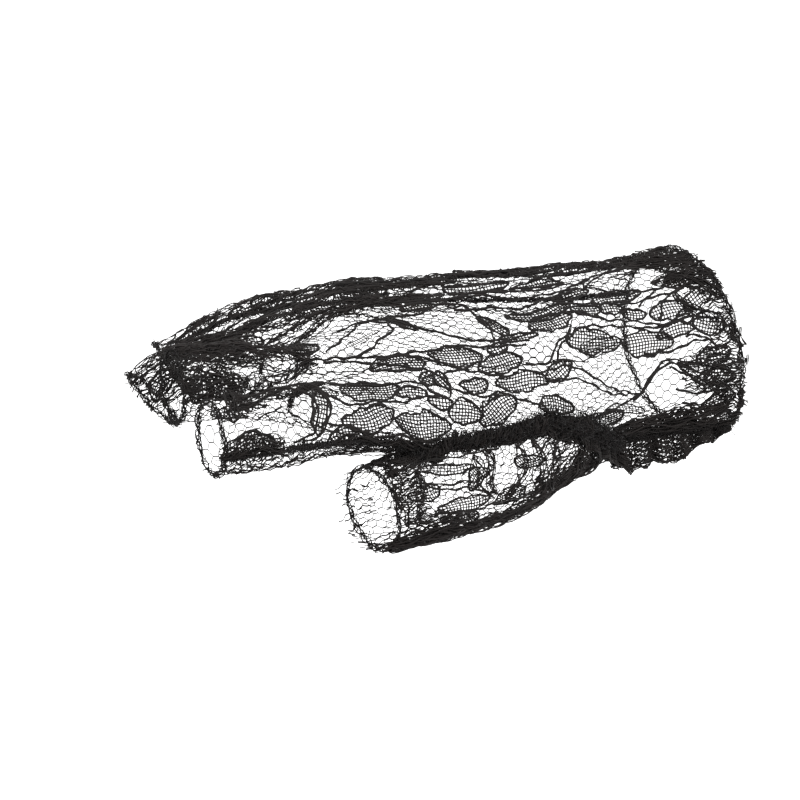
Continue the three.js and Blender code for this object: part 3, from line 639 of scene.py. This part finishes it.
# Gathers of the back: width, height, and the spots that the ridge runs through
BACK_FOLDS = [
    (3.5, 1.5, [(140, 1.02), (134, 1.08), (124.5, 1.14), (116, 1.21), (110, 1.27), (107, 1.29)]),
    (3.2, 1.2, [(131, 1.8), (124, 1.72), (118, 1.58), (114, 1.45), (110, 1.34), (107, 1.29)]),
    (3.0, 1.2, [(124, 1.95), (114, 1.9), (106, 1.95), (98, 2.1), (88, 2.2), (76, 2.24)]),
    (3.6, 1.0, [(127, 0.9), (130, 0.66), (132, 0.45), (133.5, 0.3)]),
    (3.0, 1.1, [(126, 1.0), (122, 0.97), (117, 0.95), (112, 0.98), (107, 1.02)]),
    (4.0, 1.2, [(138, 0.04), (131, 0.06), (125, 0.06), (121, 0.03)]),
    (1.8, 0.9, [(112, 2.2), (100, 2.3), (90, 2.36), (78, 2.4), (66, 2.5)]),
    (1.6, 0.5, [(100, 2.7), (80, 2.75), (60, 2.8)]),
    (1.4, 0.5, [(118, 2.9), (100, 3.1), (70, 3.05), (50, 3.15), (30, 3.0), (8, 3.1)]),
    (1.2, 0.5, [(110, 3.5), (90, 3.45), (66, 3.5), (44, 3.4), (20, 3.5), (0, 3.4)]),
    (4.0, 1.0, [(12, 0.98), (6, 0.92), (0, 0.9), (-6, 0.86)]),
    (4.5, 0.8, [(14, 2.05), (8, 2.02), (2, 1.95), (-3, 1.9)]),
    (3.0, 0.9, [(9.5, 1.8), (8.5, 1.64), (5.5, 1.52), (2, 1.4), (-2, 1.28), (-4, 1.15)]),
    (3.0, 1.0, [(-2, 2.1), (-3.5, 1.7), (-4.5, 1.4), (-6, 1.1), (-7, 0.7), (-7.5, 0.3)]),
    (5.0, 0.8, [(16, 2.45), (8, 2.35), (-1, 2.1)]),
    (4.0, 0.9, [(6, 2.05), (2, 1.8), (-2, 1.6)]),
    (3.5, 1.0, [(7, 0.82), (3, 0.7), (-1, 0.55), (-4, 0.3)]),
    (6.0, 1.4, [(27, 0.14), (19, 0.24), (11, 0.26), (4, 0.24), (-5, 0.3)]),
    (3.0, 1.0, [(110, 0.03), (98, 0.05), (86, 0.06), (74, 0.07), (64, 0.09)]),
    (3.5, 1.0, [(139, 1.14), (134, 1.17), (128, 1.2), (124, 1.22)]),
]

# Patches where the back's cloth lies in pleats: middle along, place across, half length, half width
# in finger widths, and how thickly it is filled
BACK_PATCHES = [
    (124, 3.4, 22, 0.75, 0.4), (122, 2.45, 22, 0.45, 0.7), (130, 1.8, 11, 0.4, 1.5),
    (134, 1.18, 8, 0.22, 1.6), (122, 1.42, 7, 0.12, 1.0), (109.5, 1.3, 3.5, 0.14, 1.6),
    (90, 3.0, 42, 0.35, 0.2), (40, 3.0, 45, 0.2, 0.3), (98, 2.5, 14, 0.12, 0.6),
    (0, 2.9, 12, 0.8, 0.9), (1, 2.2, 10, 0.4, 1.6), (2, 1.92, 6, 0.25, 1.5),
    (4, 0.85, 7, 0.24, 1.6), (-4.5, 0.5, 4.5, 0.3, 1.5), (-5, 1.3, 4.5, 0.5, 1.3),
    (8, 0.2, 18, 0.25, 1.5), (130.5, 0.07, 8, 0.09, 1.6), (130, 0.6, 2.5, 0.22, 1.4),
    (70, 0.04, 36, 0.08, 1.2), (129, 2.3, 12, 0.3, 1.3), (-1, 1.65, 5, 0.3, 1.4),
    (-2, 1.05, 6, 0.3, 1.3),
]

back = Sheet(1, CLOTH_BACK)
back_mesh, back_gimp = leaf_paths(back, BACK_LEAVES)
strip_mesh, _ = leaf_paths(back, BACK_STRIP)
lace_piece(
    "back_panel_lace", "lace", "back_panel",
    (net_paths(back, BACK_LEAVES + BACK_STRIP) + strip_mesh, 0.115, 3, 0.1, net_thread),
    (back_mesh, 0.185, 3, 0.1, net_thread),
    (fold_paths(back, BACK_FOLDS) + gather_paths(back, BACK_PATCHES), 0.16, 3, 0.3, net_thread),
    (back_gimp + stem_paths(back, BACK_STEMS), 0.32, 5, 0.35, gimp_thread),
)

# Palm panel
# The same lace over the palm and the palm sides of the finger stalls: mostly clear net, with two long
# stems and a few small leaves. It is overlocked to the back, and pleated where that seam draws it in.

CLOTH_PALM = 66
PALM_LEAVES = [
    (8, 0.6, 10, 3.6, 8), (6, 1.8, 10, 3.6, -6), (8, 3.1, 10, 3.6, 6),
    (92, 2.4, 11, 3.8, -6), (124, 1.5, 10, 3.6, -6), (126, 2.5, 9, 3.6, 6),
]
PALM_STEMS = [
    [(120, 0.9), (96, 1.0), (70, 0.9), (40, 1.1), (10, 1.0)],
    [(118, 2.9), (90, 2.8), (60, 2.95), (30, 2.8), (6, 2.9)],
]
PALM_PATCHES = [
    (118, 0.05, 24, 0.16, 1.5), (88, 0.06, 30, 0.1, 1.5), (80, 3.9, 60, 0.16, 0.9), (-6, 2.0, 4, 2.2, 0.8),
]

palm = Sheet(-1, CLOTH_PALM)
palm_mesh, palm_gimp = leaf_paths(palm, PALM_LEAVES)
lace_piece(
    "palm_panel_lace", "lace", "palm_panel",
    (net_paths(palm, PALM_LEAVES), 0.105, 3, 0.1, net_thread),
    (palm_mesh, 0.13, 3, 0.15, net_thread),
    (gather_paths(palm, PALM_PATCHES), 0.16, 3, 0.3, net_thread),
    (palm_gimp + stem_paths(palm, PALM_STEMS), 0.2, 5, 0.3, gimp_thread),
)

# Thumb sleeve
# A short tube of the same lace, cut as a piece of its own and sewn into the hole in the thumb side.
# The sewing draws its root into deep gathers, and narrow folds run round it.

CLOTH_THUMB = 77
THUMB_END = 98


def in_body(points, grow=-0.2):
    """Whether points lie inside the form of the glove's body."""
    along = -points[..., 0]
    rise, wide, back_height, palm_height, square, tilt, _ = [
        smooth(BODY[:, 0], BODY[:, column], along) for column in range(1, 8)]
    turn = np.radians(tilt)
    y, z = points[..., 1], points[..., 2] - rise
    level, upright = y * np.cos(turn) - z * np.sin(turn), y * np.sin(turn) + z * np.cos(turn)
    height = np.where(upright > 0, back_height, palm_height) + grow
    return np.abs(level / (wide + grow)) ** square + np.abs(upright / height) ** square < 1


class ThumbTube(Sheet):
    """The thumb's tube. Places are counted in degrees round it, from the body's side over the top."""

    low = 10
    high = 105
    slack = 0.3

    def __init__(self, width):
        self.width = width

    def flat(self, place):
        return np.asarray(place) / 360 * self.width

    def finger(self, across):
        return np.zeros(across.shape, int)

    def place(self, along, across, lift):
        middle, ahead, side, up, width, height = thumb_section(np.minimum(along, THUMB_END))
        middle = middle + ahead * np.maximum(along - THUMB_END, 0)[:, None]
        angle = across / self.width * 2 * math.pi
        cos, sin = np.cos(angle)[:, None], np.sin(angle)[:, None]
        normal = unit(side * cos * height[:, None] + up * sin * width[:, None])
        point = middle + side * cos * width[:, None] + up * sin * height[:, None]
        return point + normal * np.broadcast_to(lift, along.shape)[:, None], normal

    def on_cloth(self, along, across, points):
        return (along > self.low) & (along < THUMB_END + ragged(across) * 2) & ~in_body(points)


# The thumb's leaves, stems and folds have the same columns as the back's, with places in degrees
THUMB_LEAVES = [
    (82.5, 115, 14, 2.8, 16), (80, 162, 13.5, 4.4, 0), (80, 183, 6, 3.2, 0), (62, 100, 10, 3.4, 0),
    (88, 80, 9, 3.6, 0), (75, 60, 11, 4, 0), (90, 35, 9, 4, 0), (62, 225, 11, 4.4, 0),
    (46, 195, 9, 4, 0), (86, 236, 11, 4.2, 8), (70, 268, 11, 4.2, -6), (54, 262, 11, 4.2, 0),
    (42, 240, 10, 4, 5), (75, 310, 10, 4, 0), (38, 215, 9, 4, 0), (38, 290, 9, 4, 0), (56, 300, 10, 4, 0),
]
THUMB_STEMS = [
    [(93, 96), (84, 97), (76, 108), (68, 116)],
    [(92, 122), (84, 133), (76, 143), (73, 158), (70, 166)],
    [(90, 128), (83, 141), (76, 150), (72, 165)],
    [(88, 168), (80, 176), (72, 174), (66, 178), (58, 185)],
    [(97, 205), (84, 205), (68, 208), (54, 212), (40, 220), (30, 240)],
    [(97, 250), (80, 246), (62, 242), (46, 262), (32, 260)],
]
THUMB_FOLDS = [
    (2.8, 1.0, [(95, 68), (94.5, 95), (95, 122), (96, 150), (95, 175)]),
    (2.2, 1.0, [(89.5, 108), (89, 128), (91, 148), (92, 168)]),
    (1.4, 0.8, [(74, 112), (75, 132), (75.5, 146)]),
    (2.6, 1.0, [(70.5, 110), (72.5, 135), (73, 150), (71.5, 163)]),
    (2.4, 1.0, [(63, 118), (64, 145), (66, 158), (68.5, 176)]),
    (2.4, 1.0, [(59, 125), (60, 150), (60, 172), (58, 195)]),
    (2.4, 1.0, [(54, 125), (55.5, 150), (56, 180), (54, 205)]),
    (5.0, 1.4, [(98, 200), (90, 200), (82, 208), (74, 216)]),
    (4.0, 1.3, [(90, 222), (76, 222), (62, 220), (48, 218)]),
    (4.0, 1.3, [(49, 110), (47, 140), (46, 170), (47, 205), (50, 228)]),
    (5.0, 1.4, [(38, 150), (36, 175), (37, 205), (40, 228)]),
]

# Pleated patches of the thumb, with their half widths in quarters of the way round
THUMB_PATCHES = [
    (93, 120, 3.5, 0.8, 1.2), (90, 205, 9, 0.45, 1.5), (70, 220, 16, 0.28, 1.5), (50, 222, 12, 0.3, 1.4),
    (58, 165, 4, 0.5, 0.9), (46, 160, 9, 0.6, 1.2), (38, 180, 13, 0.7, 1.5), (95, 300, 5, 1.0, 0.5),
]

thumb = ThumbTube(CLOTH_THUMB)
thumb_mesh, thumb_gimp = leaf_paths(thumb, THUMB_LEAVES)
lace_piece(
    "thumb_sleeve_lace", "lace", "thumb_sleeve",
    (net_paths(thumb, THUMB_LEAVES), 0.11, 3, 0.1, net_thread),
    (thumb_mesh, 0.16, 3, 0.1, net_thread),
    (fold_paths(thumb, THUMB_FOLDS) + gather_paths(thumb, THUMB_PATCHES), 0.17, 3, 0.3, net_thread),
    (thumb_gimp + stem_paths(thumb, THUMB_STEMS), 0.25, 5, 0.3, gimp_thread),
)

# Seams
# Overlocked seams of black spun polyester: the two cut edges are rolled together and wrapped closely
# with thread, and loose fibres stand off them. Slack cloth hangs from the thumb side's as a frill.

seam_thread = thread_material("Overlock thread", (0.002, 0.002, 0.002), (0.012, 0.010, 0.010), 0.8, 0.05)


def ropes(points, normals, reach, cords, pitch, wander):
    """Cords twisted loosely together round a line of points."""
    run = distances(points)
    at = np.arange(0, run[-1], min(0.8, pitch / 5))
    line, up = at_distances(at, run, points), unit(at_distances(at, run, normals))
    side = unit(np.cross(np.gradient(line, axis=0), up) + 1e-9)
    paths = []
    for cord in range(cords):
        pace, phase = chance.uniform(0.3, 1.1, 4), chance.uniform(0, 6.3, 4)
        angle = at / pitch * 2 * math.pi + cord * 2 * math.pi / cords
        angle = angle + 0.5 * np.sin(at * pace[0] + phase[0])
        far = reach * (1 + 0.35 * np.sin(at * pace[1] + phase[1]))
        off = side * np.cos(angle)[:, None] + up * np.sin(angle)[:, None]
        aside, above = np.sin(at[:, None] * pace[2:] + phase[2:]).T
        stray = side * aside[:, None] + up * above[:, None]
        paths.append((line + off * far[:, None] + stray * wander, off))
    return paths


def fibres(points, normals, count, length, spread):
    """Short loose fibres that stand off a seam."""
    at = chance.integers(0, len(points), count)
    root = points[at] + chance.normal(0, spread, (count, 3))
    way = unit(normals[at] * 0.5 + chance.normal(0, 0.8, (count, 3)))
    bend = chance.normal(0, 0.6, (count, 3))
    size = length * chance.uniform(0.3, 1, (count, 1))
    steps = np.array([0, 0.35, 0.7, 1])[:, None, None]
    lines = (root + way * size * steps + bend * size * steps**2).transpose(1, 0, 2)
    return [(line, np.broadcast_to(normals[spot], line.shape)) for line, spot in zip(lines, at)]


FRILL_HANG = (0.1, -0.45, -0.9)  # the way that the frill falls


def frill_paths(points, depth):
    """Cloth gathered into a seam: small pleats that hang from it, and threads that run along them."""
    run = distances(points)
    at = np.arange(0, run[-1], 0.7)
    line = at_distances(at, run, points)
    hang = unit(np.array(FRILL_HANG))
    side = unit(np.cross(np.gradient(line, axis=0), hang))
    deep = np.interp(at, np.linspace(0, run[-1], len(depth)), depth)
    deep = deep * (0.95 + 0.1 * np.sin(at * 0.5) + 0.06 * np.sin(at * 1.3 + 1))
    pleat = 1.1 * np.sin(at * 1.1) + 0.4 * np.sin(at * 2.3 + 1)

    def at_share(share):
        return line + hang * (deep * share)[:, None] + side * (pleat * share + 0.3)[:, None]

    paths = []
    for share in np.linspace(0.05, 1, 30):
        row = at_share(share + 0.06 * np.sin(at * 1.1 + share * 40)) + chance.normal(0, 0.12, line.shape)
        breaks = np.flatnonzero(chance.uniform(0, 1, len(row)) < 0.08)
        for piece in np.split(row, breaks):
            paths.append((piece, np.broadcast_to(side[0], piece.shape)))
    grid = np.stack([at_share(share) for share in np.linspace(0, 1, 9)], 1)
    for start in chance.integers(0, len(at) - 6, 3 * len(at)):
        steps = start + (np.arange(9) + chance.integers(0, 2)) % 2 * chance.integers(1, 6)
        zigzag = grid[steps, np.arange(9)] + chance.normal(0, 0.14, (9, 3))
        paths.append((zigzag, np.broadcast_to(side[start], zigzag.shape)))
    return paths


def seam_piece(node, points, normals, reach, cords, fibre_count, frill=(), fuzz=()):
    """A seam's rolled edge, its wrapping thread, its fibres and its gathered cloth."""
    rolled = ropes(points, normals, reach * 0.6, cords, 6.0, 0.3 * reach)
    lace_piece(
        node + "_threads", "overlock", node,
        (rolled, 0.16 + 0.1 * reach, 5, 0.3, seam_thread),
        (ropes(points, normals, reach * 1.1, 2, 1.3, 0.15), 0.13, 4, 0.2, seam_thread),
        (fibres(points, normals, fibre_count, 1.6, reach * 0.8) + list(fuzz), 0.08, 3, 0.0, seam_thread),
        (list(frill) + ropes(points, normals, reach * 0.8, 2, 3.1, 0.3), 0.18, 3, 0.3, net_thread),
    )


def panel_edge(low, high, share):
    """A seam's line where the panels meet, at 0 or 1 of their width, with its outward direction."""
    along = np.arange(low, high, 1.0)
    points, up = back.place(along, np.full(along.shape, share * CLOTH_BACK), 0.0)
    _, down = palm.place(along, np.full(along.shape, share * CLOTH_PALM), 0.0)
    return points, unit(up + down)


# The thumb side's seam, in two lengths: the thumb's hole lies between them, and the frill of the
# first runs a little way into it
edge_points, edge_normals = panel_edge(-8, FORK_SEAM + 24, 0)
hole = np.flatnonzero(in_thumb(edge_points, 1.5))
wrist_line, index_line = slice(0, hole[0]), slice(hole[-1] + 1, None)
seam_piece(
    "wrist_side_seam", edge_points[wrist_line], edge_normals[wrist_line], 0.9, 6, 500,
    frill_paths(edge_points[:hole[8]], (1.5, 5, 7.5, 8.5, 8.5, 5)))
seam_piece("index_side_seam", edge_points[index_line], edge_normals[index_line], 0.75, 5, 600)
seam_piece("outer_side_seam", *panel_edge(0, 124, 1), 0.6, 4, 200)

# The thumb's seam is the ring where its tube leaves the body
round_thumb = np.linspace(0, 1, 121) * CLOTH_THUMB
down_thumb = np.linspace(THUMB[0, 0], 96, 400)
thumb_ring = []
for across in round_thumb:
    points, normals = thumb.place(down_thumb, np.full(down_thumb.shape, across), 0.0)
    leaves_body = np.flatnonzero(in_body(points, 0))[-1]
    thumb_ring.append((points[leaves_body], normals[leaves_body]))
ring_points, ring_normals = [np.array(rows) for rows in zip(*thumb_ring)]

# Stretches of the ring, in steps of 3 degrees from the body's side over the top. Wear has felted its
# upper half into a lumpy roll, which is broadest over the top and hairiest at its wrist end.
upper, broad, hairy, frilled = slice(5, 58), slice(17, 50), slice(40, 62), slice(34, 76)
turns = np.arange(len(ring_points))[:, None]
lumps = 1 + 0.6 * np.sin(turns * 0.6) + 0.4 * np.sin(turns * 1.5 + 1)
felted = ring_points + np.array([-0.4, -1.2, -0.6]) * lumps
bulk = ropes(felted[broad], ring_normals[broad], 1.4, 26, 4.5, 1.0)
bulk += ropes(felted[upper], ring_normals[upper], 0.7, 10, 6.0, 0.5)
fuzz = fibres(felted[broad], ring_normals[broad], 2800, 1.3, 1.35)
fuzz += fibres(felted[upper], ring_normals[upper], 600, 1.0, 0.8)
fuzz += fibres(felted[hairy], ring_normals[hairy], 1300, 1.8, 1.6)
seam_piece(
    "thumb_seam", ring_points, ring_normals, 0.8, 4, 600,
    frill_paths(ring_points[frilled], (1.5, 4, 6.5, 8, 7, 4)) + bulk, fuzz)

# Each fork's seam joins back and palm at the bottom of the slit between two fingers
for fork, node in enumerate(("index_middle_fork_seam", "middle_ring_fork_seam", "ring_little_fork_seam"), 1):
    ends = []
    for sheet in (back, palm):
        point, _ = sheet.place(np.array([FORK_SEAM]), np.array([sheet.edges[fork] - 0.01]), 0.0)
        ends.append(point[0])
    share = np.linspace(0, 1, 24)[:, None]
    line = ends[0] * (1 - share) + ends[1] * share
    ahead = np.broadcast_to((-1.0, 0.0, 0.0), line.shape)
    seam_piece(node, line, ahead, 0.5, 3, 40)

# Hems
# The lace's cut edge at each of the six openings, rolled once and caught down with the same spun
# thread. The net frays a little past it.


def hem_piece(node, points, normals, reach, fibre_count):
    """A hem's rolled edge, its thread and its loose fibres."""
    lace_piece(
        node + "_threads", "hem", node,
        (ropes(points, normals, reach * 0.5, 4, 9.0, 0.4), 0.15, 5, 0.35, gimp_thread),
        (ropes(points, normals, reach * 0.8, 2, 2.6, 0.3), 0.12, 4, 0.2, seam_thread),
        (fibres(points, normals, fibre_count, 1.2, 0.5), 0.06, 3, 0.0, seam_thread),
    )


def closed_edge(low, high, end, dip=0):
    """A loop over the back and under the palm, between two shares of the cloth's width.

    It lies at a distance along, less a dip towards the thumb side.
    """
    loops = []
    for sheet, ends in ((back, (low, high)), (palm, (high, low))):
        share = np.linspace(*ends, 50)[1:-1]
        across = np.clip(share * sheet.width, low * sheet.width + 0.01, high * sheet.width - 0.01)
        loops.append(sheet.place(end - dip * (1 - share) ** 2, across, 0.0))
    return [np.concatenate([over, under, over[:2]]) for over, under in zip(*loops)]


for number, node in enumerate(("index_hem", "middle_hem", "ring_hem", "little_hem")):
    edge = closed_edge(FINGER_EDGES[number], FINGER_EDGES[number + 1], FINGERS[number]["length"])
    hem_piece(node, *edge, 0.7, 120)
hem_piece("wrist_hem", *closed_edge(0, 1, 0, WRIST_DIP), 0.8, 300)
thumb_end = np.full(round_thumb.shape, THUMB_END - 1.0)
hem_piece("thumb_hem", *thumb.place(thumb_end, round_thumb, 0.0), 0.6, 150)

# Floor, light and camera
# A plain white floor, far enough below to show the palm, and three large soft lamps. The camera stands
# on the thumb side, a little towards the fingers and above, and is rolled as the photograph is.

floor_material = bpy.data.materials.new("Studio floor")
floor_material.use_nodes = True
floor_shader = floor_material.node_tree.nodes["Principled BSDF"]
floor_shader.inputs["Base Color"].default_value = (0.96, 0.96, 0.96, 1)
floor_shader.inputs["Roughness"].default_value = 0.9
bpy.ops.mesh.primitive_plane_add(size=8, location=(0, 0, -0.45))
floor = bpy.context.object
floor.name = "Studio floor"
floor.data.materials.append(floor_material)

world = bpy.data.worlds.new("Studio")
world.use_nodes = True
world.node_tree.nodes["Background"].inputs["Color"].default_value = (1, 1, 1, 1)
world.node_tree.nodes["Background"].inputs["Strength"].default_value = 1.08
bpy.context.scene.world = world
for name, place, width, power in (
    ("Key light", (-0.35, -0.5, 0.9), 0.7, 14), ("Fill light", (0.6, -0.5, 0.5), 0.8, 6),
    ("Back light", (-0.2, 0.8, 0.7), 0.8, 6),
):
    light = bpy.data.lights.new(name, "AREA")
    light.size = width
    light.energy = power
    lamp = bpy.data.objects.new(name, light)
    lamp.location = place
    lamp.rotation_euler = (-Vector(place)).to_track_quat("-Z", "Y").to_euler()
    bpy.context.scene.collection.objects.link(lamp)
bpy.context.scene.view_settings.view_transform = "Standard"

AZIMUTH, ELEVATION, ROLL = [math.radians(degrees) for degrees in (-30, 31, -11.5)]
TARGET = Vector((-0.070, 0.0, -0.005))
level_right = Vector((math.cos(AZIMUTH), math.sin(AZIMUTH), 0))
level_up = Vector((
    -math.sin(AZIMUTH) * math.sin(ELEVATION), math.cos(AZIMUTH) * math.sin(ELEVATION), math.cos(ELEVATION)))
towards = Vector((
    math.sin(AZIMUTH) * math.cos(ELEVATION), -math.cos(AZIMUTH) * math.cos(ELEVATION), math.sin(ELEVATION)))
right = level_right * math.cos(ROLL) - level_up * math.sin(ROLL)
up = level_right * math.sin(ROLL) + level_up * math.cos(ROLL)
lens = bpy.data.cameras.new("Camera")
lens.lens = 129.2
lens.shift_x = -0.0225
lens.shift_y = -0.0175
camera = bpy.data.objects.new("Camera", lens)
turned = Matrix((right, up, towards)).transposed().to_4x4()
camera.matrix_world = Matrix.Translation(TARGET + towards * 0.7) @ turned
bpy.context.scene.collection.objects.link(camera)
bpy.context.scene.camera = camera
